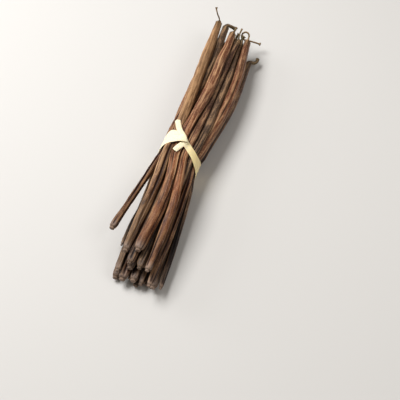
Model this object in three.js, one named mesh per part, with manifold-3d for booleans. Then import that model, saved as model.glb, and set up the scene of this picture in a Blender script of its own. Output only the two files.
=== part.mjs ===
// A small bundle of cured vanilla pods, tied round the middle with one strip of raffia.
// Millimetres, +Z up. X runs along the pods: blossom ends towards -X, hooked stem ends towards +X.
// The pods lie on z = 0. Places below are measured from the middle of the tie, and MIDDLE at the end
// puts the origin under the middle of the whole bundle.
import * as THREE from "three";
import { mergeVertices } from "three/addons/utils/BufferGeometryUtils.js";
import Module from "manifold-3d";

const wasm = await Module();
wasm.setup();

// ---- Driving dimensions ----

// The middle of the bundle's box, from the middle of the tie.
const MIDDLE = { x: 6.86, y: 0.47 };

// The oval that the tie draws the pods into, and how it opens away from the tie.
const OVAL = { halfWidth: 10.9, halfHeight: 9.7, height: 11.4 };
const OVAL_SWELL = 0.3; // growth of the oval for each millimetre away from the tie
const PINCH_HALF_LENGTH = 4.5;

// The line that the tie follows round the oval, slanted and a little crooked: its place along X
// is the sum of a first and a second wave of the turn round the oval, in degrees from +Y.
const BAND = { along: -5.5, slant: 4.85, slantTurn: 57, crook: 1.9, crookTurn: 104 };

// Pods as the tie holds them, in rows of: the place in the oval (degrees from +Y, share of the
// oval), half thickness in the blossom and the stem half, the share of it that the blossom end has,
// both ends (x, y, z), how far both halves bow towards +Y, and the stalk.
const RIM = 0.83; // share of the oval at which the outer ring of pods lies
const INNER = 0.42;
const HEART = 0.14;
const SHOWN_PODS = [
  [14, RIM, [1.7, 2.0], 1.3, [-58.1, 16.2, 14.5], [77.0, 8.8, 9.0], [-1.2, -0.3], "bent"],
  [63, RIM, [2.6, 2.5], 0.8, [-68.3, 4.7, 15.0], [87.3, 10.2, 16.5], [-0.5, -1.0], "rising"],
  [89, RIM, [2.3, 2.4], 0.95, [-67.5, -0.9, 17.0], [82.2, 0.8, 16.0], [-2.8, -3.6], "nib"],
  [108, RIM, [2.3, 2.0], 0.7, [-75.0, -8.5, 14.0], [79.2, -3.6, 14.0], [-2.0, 0.4], "reed"],
  [146, 0.68, [1.8, 1.8], 1.05, [-73.6, -4.1, 11.5], [80.7, -4.7, 11.5], [0.0, -0.5], "bent"],
  [164, RIM, [1.9, 2.6], 0.75, [-80.0, -11.2, 9.5], [82.8, -7.4, 12.0], [-0.6, -4.6], "loop"],
  [186, RIM, [1.5, 2.1], 0.8, [-77.0, -16.0, 5.0], [72.8, -11.8, 6.2], [0.2, -3.0], "hook"],
  [345, RIM, [1.9, 2.0], 0.9, [-76.0, 4.9, 7.0], [76.0, 9.2, 6.0], [0.0, 0.0], "bent"],
  [30, INNER, [1.2, 2.4], 0.7, [-62.6, 9.3, 9.0], [88.0, 6.5, 13.5], [0.0, -1.9], "over"],
  [85, INNER, [2.0, 2.0], 0.95, [-73.3, 0.9, 12.0], [82.0, -1.5, 11.0], [0.0, 0.0], "bent"],
  [130, INNER, [2.1, 2.0], 0.85, [-70.0, -6.0, 8.0], [77.0, -6.5, 9.8], [0.0, 0.0], "bent"],
];

// The pods underneath and inside follow a rule: places in the oval at even turns.
const LOWER_RING = { count: 5, firstTurn: 210, stepTurn: 28, share: RIM };
const INNER_RING = { count: 4, firstTurn: 178, stepTurn: 52, share: INNER };
const HEART_RING = { count: 2, firstTurn: 60, stepTurn: 180, share: HEART };
const HIDDEN_THICK = { least: 1.95, spread: 0.4, stemExtra: 0.1 };
const HIDDEN_CLUB = { least: 0.8, spread: 0.3 };
const HIDDEN_BLOSSOM = { along: -66, stagger: -13, halfWidth: 13.5, aside: -1.8, height: 6.6, halfHeight: 9 };
const HIDDEN_STEM = { along: 73, stagger: 11, halfWidth: 9.5, aside: 1.2, height: 7.2, halfHeight: 9 };

// A pod's own form, as shares of its half thickness or in millimetres from its end.
const BLOSSOM_CAP = [[0, 0], [0.25, 0.5], [0.8, 0.6], [1.2, 0.84], [2.8, 0.98]];
const THICK_BLEND = 60; // length over which the blossom half's thickness becomes the stem half's
const CLUB_OVER = 18; // length over which a pod takes the thickness of its blossom end
const NECK = { share: 0.72, over: 24 };
const FLATNESS = 0.94; // height of a pod's section against its width
const SIDES = 7;
const RING_STEP = 12;
const FLAT_SPOT = 0.25; // depth to which the lowest pods are pressed flat

// Stalks: their half thickness, how much wider their tip is, and the runs they take as
// [length, turn in degrees, axis].
const UPWARD = new THREE.Vector3(0, -1, 0);
const ASIDE = new THREE.Vector3(0, 0, -1);
const UP_AND_BACK = new THREE.Vector3(0, -0.77, 0.64);
const LEANING = new THREE.Vector3(-0.56, -0.19, 0.81);
const STALKS = {
  bent: { radius: 0.75, flare: 0.4, runs: [[2.4, 35, UPWARD], [2.0, 35, ASIDE]] },
  nib: { radius: 0.6, flare: 0.3, runs: [[2.0, 12, ASIDE], [2.6, 15, UPWARD]] },
  reed: { radius: 0.45, flare: 0.2, runs: [[4.0, 14, LEANING], [6.0, -16, LEANING]] },
  rising: { radius: 0.4, flare: 0.4, runs: [[1.2, 10, UPWARD], [2.8, 62, UP_AND_BACK], [4.8, -28, UP_AND_BACK]] },
  over: { radius: 1.05, flare: 0.2, runs: [[1.2, 0, LEANING], [2.4, -85, LEANING], [3.4, -8, LEANING]] },
  hook: { radius: 1.0, flare: 0.1, runs: [[3.2, -84, LEANING], [4.8, 92, LEANING]] },
  loop: { radius: 0.5, flare: 0.6, runs: [[4.4, 18, UPWARD], [10.2, 275, LEANING], [8.6, -8, LEANING]] },
};
const STALK_STEP = 1.3;
const STALK_RUNOUT = 2.6; // length over which the neck narrows to the stalk
const KNOB_LENGTH = 0.7; // the flared tip

// Settling: how the pods push apart, keep smooth and stay near their places.
const FIRST_STATION = -90;
const STATION_STEP = 5;
const STATIONS = 38;
const SETTLE = { rounds: 160, smooth: 0.3, pull: 0.04 };
const SPLAY = { early: 0.35, beyond: 1.15 }; // how soon pods leave the tie's oval for their ends
const HIDDEN_BOW = 1.0; // greatest bow of the pods underneath and inside

// The core that stands for the packed pods inside the middle of the bundle.
const CORE = { from: -46, to: 50, inset: 2.9, height: 10.4, grow: 0.03, sides: 14, rings: 8, blunt: 1.35 };

// The raffia: a flat strip, the wrap of its knot on top of the bundle and its two cut ends.
// Its reach along X swings between 4.6 at the knot and 9.2 at the sides of the bundle.
const STRIP = { reach: 6.9, reachSwing: 2.3, widestTurn: 28, endWidth: 2.6, thick: 0.45 };
const CLEAR = 0.35; // space between the strip and the pods
const BAND_STEPS = 44;
const LONG_END = [[-2.2, -0.6, 0.8], [0.4, 0.6, 1.6], [4.0, 3.1, 1.5], [7.1, 5.2, 1.9], [11.4, 7.6, 2.6]];
const SHORT_END = [[-0.8, -1.0, 0.8], [-3.4, -1.1, 1.5], [-6.4, 0.0, 1.2], [-9.6, 1.9, 0.9]];
const KNOT_WRAP = [[-3.1, 3.0, 0.7], [-3.0, 1.2, 1.8], [-1.8, -0.4, 1.8], [-0.2, -2.0, 0.7]];
const END_STEPS = 8;

// ---- Joining and cutting ----

function toSolid(geometry) {
  geometry.deleteAttribute("normal");
  geometry.deleteAttribute("uv");
  const merged = mergeVertices(geometry, 1e-4);
  const corners = merged.index.array;
  const kept = [];
  for (let k = 0; k < corners.length; k += 3) {
    const [a, b, c] = [corners[k], corners[k + 1], corners[k + 2]];
    if (a !== b && b !== c && c !== a) kept.push(a, b, c);
  }
  const mesh = new wasm.Mesh({
    numProp: 3,
    vertProperties: merged.attributes.position.array,
    triVerts: new Uint32Array(kept),
  });
  return new wasm.Manifold(mesh);
}

function toGeometry(solid) {
  const mesh = solid.getMesh();
  const geometry = new THREE.BufferGeometry();
  geometry.setAttribute("position", new THREE.BufferAttribute(mesh.vertProperties, 3));
  geometry.setIndex(new THREE.BufferAttribute(mesh.triVerts, 1));
  geometry.computeVertexNormals();
  return geometry;
}

// The largest body of a solid: loose scraps go, and hollows that joining sealed are filled.
function largestBody(solid) {
  return solid.decompose().reduce((best, body) => (body.volume() > best.volume() ? body : best));
}

// Moves every vertex of a straight geometry to its place on a curved one.
function bend(geometry, placeOf) {
  const positions = geometry.attributes.position;
  const vertex = new THREE.Vector3();
  for (let k = 0; k < positions.count; k++) {
    vertex.fromBufferAttribute(positions, k);
    const place = placeOf(vertex);
    positions.setXYZ(k, place.x, place.y, place.z);
  }
  return geometry;
}

// ---- How the pods lie ----

// A fixed scatter from 0 to 1 for pod number i, with a different one for each use.
function scatter(i, use) {
  const value = Math.sin(i * 12.9898 + use * 78.233) * 43758.5453;
  return value - Math.floor(value);
}

function hiddenPod(number, turn, share) {
  const across = Math.cos(THREE.MathUtils.degToRad(turn)) * share;
  const up = Math.sin(THREE.MathUtils.degToRad(turn)) * share;
  const least = HIDDEN_THICK.least + HIDDEN_THICK.spread * scatter(number, 5);
  const end = (rule, use) => [
    rule.along + rule.stagger * scatter(number, use),
    rule.halfWidth * across + rule.aside + scatter(number, use + 1) - 0.5,
    rule.height + rule.halfHeight * up,
  ];
  return {
    turn,
    share,
    thick: [least, least + HIDDEN_THICK.stemExtra],
    club: HIDDEN_CLUB.least + HIDDEN_CLUB.spread * scatter(number, 12),
    blossom: end(HIDDEN_BLOSSOM, 6),
    stem: end(HIDDEN_STEM, 8),
    bows: [1, 2].map((use) => HIDDEN_BOW * (2 * scatter(number, use) - 1)),
    stalk: scatter(number, 9) < 0.5 ? "bent" : "nib",
  };
}

function allPods() {
  const pods = SHOWN_PODS.map(([turn, share, thick, club, blossom, stem, bows, stalk]) => (
    { turn, share, thick, club, blossom, stem, bows, stalk }
  ));
  for (const ring of [LOWER_RING, INNER_RING, HEART_RING]) {
    for (let k = 0; k < ring.count; k++) {
      pods.push(hiddenPod(pods.length, ring.firstTurn + ring.stepTurn * k, ring.share));
    }
  }
  return pods;
}

const stationX = (k) => FIRST_STATION + STATION_STEP * k;

// The tie's place along X at a turn round the oval, in radians from +Y.
function bandAlong(turn) {
  const slant = Math.cos(turn - THREE.MathUtils.degToRad(BAND.slantTurn));
  const crook = Math.cos(2 * turn - THREE.MathUtils.degToRad(BAND.crookTurn));
  return BAND.along + BAND.slant * slant + BAND.crook * crook;
}

// A pod's half thickness at x, without its rounded end and its stalk.
function halfThickness(pod, x) {
  const blend = THREE.MathUtils.clamp(0.5 + x / THICK_BLEND, 0, 1);
  const thick = THREE.MathUtils.lerp(pod.thick[0], pod.thick[1], blend);
  const tip = THREE.MathUtils.clamp((x - pod.blossom[0]) / CLUB_OVER, 0, 1);
  const neck = THREE.MathUtils.smoothstep(pod.stem[0] - x, 0, NECK.over);
  const club = THREE.MathUtils.lerp(pod.club, 1, tip);
  return thick * club * THREE.MathUtils.lerp(NECK.share, 1, neck);
}

// Where a pod would lie if it were alone: from its place in the tie to each of its ends.
function wishedPlace(pod, x) {
  const turn = THREE.MathUtils.degToRad(pod.turn);
  const tieY = OVAL.halfWidth * pod.share * Math.cos(turn);
  const tieZ = OVAL.height + OVAL.halfHeight * pod.share * Math.sin(turn);
  const end = x < 0 ? pod.blossom : pod.stem;
  const way = Math.min(Math.abs(x / end[0]), SPLAY.beyond);
  const ease = way * (1 + SPLAY.early - SPLAY.early * way);
  const bow = pod.bows[x < 0 ? 0 : 1] * Math.sin(Math.PI * Math.min(way, 1));
  return { y: tieY + (end[1] - tieY) * ease + bow, z: tieZ + (end[2] - tieZ) * ease };
}

// Neighbours that press into each other at one station are pushed apart.
function pushApart(row) {
  for (let i = 0; i < row.length; i++) {
    for (let j = i + 1; j < row.length; j++) {
      const dy = row[j].y - row[i].y;
      const dz = row[j].z - row[i].z;
      const apart = Math.hypot(dy, dz);
      const need = row[i].thick + row[j].thick;
      if (!row[i].there || !row[j].there || apart >= need || apart < 1e-9) continue;
      const push = (0.5 * (need - apart)) / apart;
      row[i].y -= dy * push;
      row[i].z -= dz * push;
      row[j].y += dy * push;
      row[j].z += dz * push;
    }
  }
}

// A pod stays inside the tie's oval and above the surface that the bundle lies on.
function holdIn(spot, x) {
  const turn = Math.atan2((spot.z - OVAL.height) / OVAL.halfHeight, spot.y / OVAL.halfWidth);
  const away = Math.abs(x - bandAlong(turn)) - PINCH_HALF_LENGTH;
  const swell = OVAL_SWELL * Math.max(0, away);
  const roomY = OVAL.halfWidth + swell - spot.thick;
  const roomZ = OVAL.halfHeight + swell - spot.thick;
  const out = Math.hypot(spot.y / roomY, (spot.z - OVAL.height) / roomZ);
  if (out > 1) {
    spot.y /= out;
    spot.z = OVAL.height + (spot.z - OVAL.height) / out;
  }
  spot.z = Math.max(spot.z, spot.thick * FLATNESS - FLAT_SPOT);
}

// rows[k][i] is where pod i lies at station k.
function settledRows(pods) {
  const rows = [];
  for (let k = 0; k < STATIONS; k++) {
    const x = stationX(k);
    rows.push(pods.map((pod) => {
      const wish = wishedPlace(pod, x);
      const there = x > pod.blossom[0] - STATION_STEP && x < pod.stem[0] + STATION_STEP;
      return { ...wish, wish, there, thick: halfThickness(pod, x) };
    }));
  }
  for (let round = 0; round < SETTLE.rounds; round++) {
    for (let i = 0; i < pods.length; i++) {
      for (let k = 0; k < STATIONS; k++) {
        const spot = rows[k][i];
        const before = rows[Math.max(k - 1, 0)][i];
        const after = rows[Math.min(k + 1, STATIONS - 1)][i];
        spot.y += SETTLE.smooth * ((before.y + after.y) / 2 - spot.y) + SETTLE.pull * (spot.wish.y - spot.y);
        spot.z += SETTLE.smooth * ((before.z + after.z) / 2 - spot.z) + SETTLE.pull * (spot.wish.z - spot.z);
      }
    }
    for (let k = 0; k < STATIONS; k++) {
      pushApart(rows[k]);
      rows[k].forEach((spot) => holdIn(spot, stationX(k)));
    }
  }
  return rows;
}

// ---- One pod ----

// The rings of the pod's body, from its blunt blossom end to its neck.
function bodyRings(pod, line) {
  const [start, end] = [pod.blossom[0], pod.stem[0]];
  const span = (STATIONS - 1) * STATION_STEP;
  const ringAt = (x, share) => ({
    point: line.getPoint((x - FIRST_STATION) / span),
    radius: halfThickness(pod, x) * share,
  });
  const rings = BLOSSOM_CAP.map(([along, share]) => ringAt(start + along, share));
  const plain = Math.round((end - start) / RING_STEP);
  for (let k = 1; k <= plain; k++) {
    rings.push(ringAt(start + ((end - start) * k) / plain, 1));
  }
  return rings;
}

// The rings of the stalk, which runs on from the neck and ends in a flared knob.
function stalkRings(pod, beforeNeck, neck) {
  const { radius, flare, runs } = STALKS[pod.stalk];
  const rings = [];
  const point = neck.point.clone();
  const heading = neck.point.clone().sub(beforeNeck.point).normalize();
  let gone = 0;
  for (const [length, turn, axis] of runs) {
    const steps = Math.ceil(length / STALK_STEP);
    for (let k = 0; k < steps; k++) {
      heading.applyAxisAngle(axis.clone().normalize(), THREE.MathUtils.degToRad(turn / steps));
      point.addScaledVector(heading, length / steps);
      gone += length / steps;
      const slim = THREE.MathUtils.smoothstep(gone, 0, STALK_RUNOUT);
      rings.push({ point: point.clone(), radius: THREE.MathUtils.lerp(neck.radius, radius, slim) });
    }
  }
  const knob = radius + flare;
  rings.at(-1).radius = knob;
  rings.push({ point: point.clone().addScaledVector(heading, 0.7 * KNOB_LENGTH), radius: 0.7 * knob });
  rings.push({ point: point.clone().addScaledVector(heading, KNOB_LENGTH), radius: 0 });
  return rings;
}

function makePod(pod, line) {
  const body = bodyRings(pod, line);
  const rings = [...body, ...stalkRings(pod, body.at(-2), body.at(-1))];
  const up = new THREE.Vector3(0, 0, 1);
  rings.forEach((ring, k) => {
    const before = rings[Math.max(k - 1, 0)].point;
    const after = rings[Math.min(k + 1, rings.length - 1)].point;
    const along = after.clone().sub(before).normalize();
    up.addScaledVector(along, -up.dot(along)).normalize();
    ring.up = up.clone();
    ring.side = along.cross(up);
  });
  const profile = rings.map((ring, k) => new THREE.Vector2(ring.radius, k));
  const straight = new THREE.LatheGeometry(profile, SIDES);
  return toSolid(bend(straight, (vertex) => {
    const ring = rings[Math.round(vertex.y)];
    return ring.point.clone()
      .addScaledVector(ring.side, -vertex.x)
      .addScaledVector(ring.up, -vertex.z * FLATNESS);
  }));
}

// ---- The two nodes ----

function makeCore() {
  const middle = (CORE.from + CORE.to) / 2;
  const half = (CORE.to - CORE.from) / 2;
  const profile = [];
  for (let k = 0; k <= CORE.rings; k++) {
    const turn = (Math.PI * k) / CORE.rings;
    const radius = k === CORE.rings ? 0 : Math.min(1, CORE.blunt * Math.sin(turn));
    profile.push(new THREE.Vector2(radius, -Math.cos(turn)));
  }
  return toSolid(bend(new THREE.LatheGeometry(profile, CORE.sides), (vertex) => {
    const x = middle + half * vertex.y;
    const grow = CORE.grow * Math.abs(x - BAND.along);
    const halfWidth = OVAL.halfWidth - CORE.inset + grow;
    const halfHeight = OVAL.halfHeight - CORE.inset + grow / 2;
    return new THREE.Vector3(x, vertex.x * halfWidth, CORE.height - vertex.z * halfHeight);
  }));
}

// The pods in one piece over the core, pressed flat underneath and pressed in under the strip.
function makePods(pressedIn) {
  const pods = allPods();
  const rows = settledRows(pods);
  let joined = makeCore();
  pods.forEach((pod, i) => {
    const places = rows.map((row, k) => new THREE.Vector3(stationX(k), row[i].y, row[i].z));
    joined = joined.add(makePod(pod, new THREE.CatmullRomCurve3(places, false, "catmullrom", 0.5)));
  });
  const below = toSolid(new THREE.BoxGeometry(400, 100, 20).translate(0, 0, -10));
  return largestBody(joined.subtract(below).subtract(pressedIn));
}

// The way out of the oval at a place round it.
function outward(y, z) {
  return new THREE.Vector3(0, y / OVAL.halfWidth ** 2, (z - OVAL.height) / OVAL.halfHeight ** 2).normalize();
}

// The middle line of the band at a turn round the oval, in radians from +Y.
function bandPoint(turn) {
  const clear = CLEAR + STRIP.thick / 2;
  const y = (OVAL.halfWidth + clear) * Math.cos(turn);
  const z = OVAL.height + (OVAL.halfHeight + clear) * Math.sin(turn);
  return new THREE.Vector3(bandAlong(turn), y, z);
}

// How far the band reaches to each side along X at a turn round the oval.
function bandReach(turn, strip) {
  const swing = Math.cos(2 * (turn - THREE.MathUtils.degToRad(STRIP.widestTurn)));
  return (strip.reach + STRIP.reachSwing * swing) / 2;
}

function makeBand(strip) {
  const t = strip.thick / 2;
  const section = [[1 - t, -1], [1 + t, -1], [1 + t, 1], [1 - t, 1], [1 - t, -1]];
  const ring = new THREE.LatheGeometry(section.map(([r, h]) => new THREE.Vector2(r, h)), BAND_STEPS);
  return toSolid(bend(ring, (vertex) => {
    const turn = Math.atan2(vertex.x, vertex.z);
    const point = bandPoint(turn);
    const out = outward(point.y, point.z);
    point.x += vertex.y * bandReach(turn, strip);
    return point.addScaledVector(out, Math.hypot(vertex.x, vertex.z) - 1);
  }));
}

// A cut end of the strip: points are (x, y) on top of the bundle and the height above the oval.
function makeEnd(places, strip) {
  const line = new THREE.CatmullRomCurve3(places.map(([x, y, lift]) => {
    const crown = OVAL.halfHeight * Math.sqrt(1 - (y / OVAL.halfWidth) ** 2);
    return new THREE.Vector3(x, y, OVAL.height + crown + lift);
  }));
  const flat = new THREE.BoxGeometry(1, strip.endWidth, strip.thick, END_STEPS, 1, 1);
  return toSolid(bend(flat, (vertex) => {
    const step = THREE.MathUtils.clamp(vertex.x + 0.5, 0, 1);
    const point = line.getPoint(step);
    const out = outward(point.y, point.z);
    const along = line.getTangent(step);
    const across = out.clone().cross(along).normalize();
    return point.addScaledVector(across, vertex.y).addScaledVector(along.cross(across), vertex.z);
  }));
}

function makeTie(strip) {
  const ends = [LONG_END, SHORT_END, KNOT_WRAP].map((places) => makeEnd(places, strip));
  return ends.reduce((tie, end) => tie.add(end), makeBand(strip));
}

// ---- The bundle ----

function node(name, solid, colour, roughness) {
  const material = new THREE.MeshStandardMaterial({ color: colour, roughness, metalness: 0 });
  const mesh = new THREE.Mesh(toGeometry(solid), material);
  mesh.name = name;
  return mesh;
}

const stripWithSpace = {
  reach: STRIP.reach + 2 * CLEAR,
  endWidth: STRIP.endWidth + 2 * CLEAR,
  thick: STRIP.thick + 2 * CLEAR,
};
const bundle = new THREE.Group();
bundle.add(node("pods", makePods(makeTie(stripWithSpace)), 0x5a3b28, 0.5));
bundle.add(node("raffia_tie", makeTie(STRIP), 0xf3e2b3, 0.7));
bundle.position.set(-MIDDLE.x, -MIDDLE.y, 0);

export default bundle;
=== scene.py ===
"""A small bundle of cured vanilla pods, drawn together in the middle by a knotted strip of raffia.

The file is laid out as a Blender add-on and run as a script. Lengths and places in the tables are
millimetres, +Z up, and X runs along the pods: blossom ends towards -X, stem ends towards +X.
"""

import math
from collections import namedtuple
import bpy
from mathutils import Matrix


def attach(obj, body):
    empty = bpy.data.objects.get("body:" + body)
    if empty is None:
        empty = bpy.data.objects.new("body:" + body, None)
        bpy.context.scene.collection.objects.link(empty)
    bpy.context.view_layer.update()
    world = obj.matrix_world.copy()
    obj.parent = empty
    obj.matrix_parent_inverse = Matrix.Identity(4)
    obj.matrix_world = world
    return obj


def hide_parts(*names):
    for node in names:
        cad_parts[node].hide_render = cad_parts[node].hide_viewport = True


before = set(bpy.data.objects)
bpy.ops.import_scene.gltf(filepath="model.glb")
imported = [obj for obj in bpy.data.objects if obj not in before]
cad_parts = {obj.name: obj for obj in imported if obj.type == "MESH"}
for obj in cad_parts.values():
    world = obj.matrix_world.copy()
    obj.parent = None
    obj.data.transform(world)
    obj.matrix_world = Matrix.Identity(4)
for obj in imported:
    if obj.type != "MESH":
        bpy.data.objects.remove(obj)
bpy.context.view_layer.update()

from types import SimpleNamespace

import bmesh
import bpy
import numpy as np
from mathutils import Quaternion, Vector

bl_info = {
    "name": "Vanilla Bundle",
    "version": (1, 0, 0),
    "blender": (4, 5, 0),
    "location": "3D View > Sidebar > Bundle",
    "description": "Lays a bundle of cured vanilla pods and ties it with raffia",
    "category": "Add Mesh",
}

MM = 0.001
ROOT = "root"


def linear(hex_colour):
    """The linear RGBA of an sRGB hex colour."""
    channels = [int(hex_colour[k : k + 2], 16) / 255 for k in (0, 2, 4)]
    return [c / 12.92 if c <= 0.04045 else ((c + 0.055) / 1.055) ** 2.4 for c in channels] + [1.0]


def colour_setting(name, description, hex_colour):
    """A colour that a user can change."""
    return bpy.props.FloatVectorProperty(
        name=name, description=description, default=linear(hex_colour), size=4, subtype="COLOR"
    )


# ---- How the pods lie: the same sizes and rules as the solids follow ----

# The middle of the tie, from the origin. Places below are measured from it.
TIE_MIDDLE = Vector((-6.86, -0.47, 0.0))

# The oval that the tie draws the pods into, and how it opens away from the tie.
OVAL_HALF_WIDTH = 10.9
OVAL_HALF_HEIGHT = 9.7
OVAL_Z = 11.4
OVAL_SWELL = 0.3
PINCH_HALF_LENGTH = 4.5

# The line of the tie round the oval: its place along X is the sum of two waves of the turn.
BAND_ALONG = -5.5
BAND_SLANT, BAND_SLANT_TURN = 4.85, math.radians(57)
BAND_CROOK, BAND_CROOK_TURN = 1.9, math.radians(104)

# How far the strip reaches to each side along X: least at the knot, most at the bundle's sides.
BAND_REACH, BAND_REACH_SWING, BAND_WIDEST_TURN = 3.45, 1.15, math.radians(28)

# Pods that show, in rows of: the place in the oval (degrees from +Y, share of the oval), half
# thickness in the blossom and the stem half, the share of it that the blossom end has, both ends,
# how far both halves bow towards +Y, the stalk, and the skin of both halves.
RIM, INNER, HEART = 0.83, 0.42, 0.14
SHOWN_PODS = (
    (14, RIM, (1.7, 2.0), 1.3, (-58.1, 16.2, 14.5), (77.0, 8.8, 9.0), (-1.2, -0.3), "bent",
     ("amber", "russet")),
    (63, RIM, (2.6, 2.5), 0.8, (-68.3, 4.7, 15.0), (87.3, 10.2, 16.5), (-0.5, -1.0), "rising",
     ("tan", "tan")),
    (89, RIM, (2.3, 2.4), 0.95, (-67.5, -0.9, 17.0), (82.2, 0.8, 16.0), (-2.8, -3.6), "nib",
     ("rust", "russet")),
    (108, RIM, (2.3, 2.0), 0.7, (-75.0, -8.5, 14.0), (79.2, -3.6, 14.0), (-2.0, 0.4), "reed",
     ("rust", "plum")),
    (146, 0.68, (1.8, 1.8), 1.05, (-73.6, -4.1, 11.5), (80.7, -4.7, 11.5), (0.0, -0.5), "bent",
     ("ash", "ash")),
    (164, RIM, (1.9, 2.6), 0.75, (-80.0, -11.2, 9.5), (82.8, -7.4, 12.0), (-0.6, -4.6), "loop",
     ("amber", "russet")),
    (186, RIM, (1.5, 2.1), 0.8, (-77.0, -16.0, 5.0), (72.8, -11.8, 6.2), (0.2, -3.0), "hook",
     ("plum", "plum")),
    (345, RIM, (1.9, 2.0), 0.9, (-76.0, 4.9, 7.0), (76.0, 9.2, 6.0), (0.0, 0.0), "bent",
     ("ash", "amber")),
    (30, INNER, (1.2, 2.4), 0.7, (-62.6, 9.3, 9.0), (88.0, 6.5, 13.5), (0.0, -1.9), "over",
     ("ash", "ash")),
    (85, INNER, (2.0, 2.0), 0.95, (-73.3, 0.9, 12.0), (82.0, -1.5, 11.0), (0.0, 0.0), "bent",
     ("plum", "amber")),
    (130, INNER, (2.1, 2.0), 0.85, (-70.0, -6.0, 8.0), (77.0, -6.5, 9.8), (0.0, 0.0), "bent",
     ("ash", "plum")),
)

# The pods underneath and inside, in rings of: count, first turn, step of turn, share of the oval.
HIDDEN_RINGS = ((5, 210, 28, RIM), (4, 178, 52, INNER), (2, 60, 180, HEART))
HIDDEN_LEAST, HIDDEN_SPREAD, HIDDEN_STEM_EXTRA = 1.95, 0.4, 0.1
HIDDEN_CLUB_LEAST, HIDDEN_CLUB_SPREAD = 0.8, 0.3
EndRule = namedtuple("EndRule", "along stagger half_width aside height half_height")
HIDDEN_BLOSSOM = EndRule(-66, -13, 13.5, -1.8, 6.6, 9)
HIDDEN_STEM = EndRule(73, 11, 9.5, 1.2, 7.2, 9)
SKINS = ("tan", "amber", "russet", "plum", "ash")

THICK_BLEND = 60.0
CLUB_OVER = 18.0
NECK_SHARE, NECK_OVER = 0.72, 24.0
FLATNESS = 0.94
FLAT_SPOT = 0.25

# Stalks: half thickness, how much wider the tip is, and the runs they take as (length, turn in
# degrees, axis).
UPWARD = Vector((0, -1, 0))
ASIDE = Vector((0, 0, -1))
UP_AND_BACK = Vector((0, -0.77, 0.64))
LEANING = Vector((-0.56, -0.19, 0.81))
STALKS = {
    "bent": (0.75, 0.4, ((2.4, 35, UPWARD), (2.0, 35, ASIDE))),
    "nib": (0.6, 0.3, ((2.0, 12, ASIDE), (2.6, 15, UPWARD))),
    "reed": (0.45, 0.2, ((4.0, 14, LEANING), (6.0, -16, LEANING))),
    "rising": (0.4, 0.4, ((1.2, 10, UPWARD), (2.8, 62, UP_AND_BACK), (4.8, -28, UP_AND_BACK))),
    "over": (1.05, 0.2, ((1.2, 0, LEANING), (2.4, -85, LEANING), (3.4, -8, LEANING))),
    "hook": (1.0, 0.1, ((3.2, -84, LEANING), (4.8, 92, LEANING))),
    "loop": (0.5, 0.6, ((4.4, 18, UPWARD), (10.2, 275, LEANING), (8.6, -8, LEANING))),
}
STALK_RUNOUT = 2.6

# Settling: how the pods push apart, keep smooth and stay near their places.
FIRST_STATION, STATION_STEP, STATIONS = -90.0, 5.0, 38
SETTLE_ROUNDS, SETTLE_SMOOTH, SETTLE_PULL = 160, 0.3, 0.04
SPLAY_EARLY, SPLAY_BEYOND = 0.35, 1.15
HIDDEN_BOW = 1.0
SAME_PLACE = 1e-9

Pod = namedtuple("Pod", "turn share thick club blossom stem bows stalk skins")


def clamp(value, low=0.0, high=1.0):
    return max(low, min(high, value))


def mix(a, b, share):
    return a + (b - a) * share


def smooth(value, low, high):
    """0 below low, 1 above high, and an even curve between."""
    share = clamp((value - low) / (high - low))
    return share * share * (3 - 2 * share)


def scatter(i, use):
    """A fixed scatter from 0 to 1 for pod number i, with a different one for each use."""
    value = math.sin(i * 12.9898 + use * 78.233) * 43758.5453
    return value - math.floor(value)


def hidden_pod(number, turn, share):
    across = math.cos(math.radians(turn)) * share
    up = math.sin(math.radians(turn)) * share
    least = HIDDEN_LEAST + HIDDEN_SPREAD * scatter(number, 5)
    ends = [
        (
            rule.along + rule.stagger * scatter(number, use),
            rule.half_width * across + rule.aside + scatter(number, use + 1) - 0.5,
            rule.height + rule.half_height * up,
        )
        for rule, use in ((HIDDEN_BLOSSOM, 6), (HIDDEN_STEM, 8))
    ]
    bows = [HIDDEN_BOW * (2 * scatter(number, use) - 1) for use in (1, 2)]
    stalk = "bent" if scatter(number, 9) < 0.5 else "nib"
    skins = [SKINS[int(len(SKINS) * scatter(number, use))] for use in (10, 11)]
    thick = (least, least + HIDDEN_STEM_EXTRA)
    club = HIDDEN_CLUB_LEAST + HIDDEN_CLUB_SPREAD * scatter(number, 12)
    return Pod(turn, share, thick, club, *ends, bows, stalk, skins)


def all_pods():
    pods = [Pod(*row) for row in SHOWN_PODS]
    for count, first_turn, step_turn, share in HIDDEN_RINGS:
        for k in range(count):
            pods.append(hidden_pod(len(pods), first_turn + step_turn * k, share))
    return pods


def station_x(k):
    return FIRST_STATION + STATION_STEP * k


def band_along(turn):
    """The tie's place along X at a turn round the oval, in radians from +Y."""
    slant = BAND_SLANT * math.cos(turn - BAND_SLANT_TURN)
    return BAND_ALONG + slant + BAND_CROOK * math.cos(2 * turn - BAND_CROOK_TURN)


def band_reach(turn):
    """How far the tie reaches to each side along X at a turn round the oval."""
    return BAND_REACH + BAND_REACH_SWING * math.cos(2 * (turn - BAND_WIDEST_TURN))


def half_thickness(pod, x):
    """A pod's half thickness at x, without its rounded end and its stalk."""
    thick = mix(*pod.thick, clamp(0.5 + x / THICK_BLEND))
    club = mix(pod.club, 1, clamp((x - pod.blossom[0]) / CLUB_OVER))
    return thick * club * mix(NECK_SHARE, 1, smooth(pod.stem[0] - x, 0, NECK_OVER))


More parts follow.
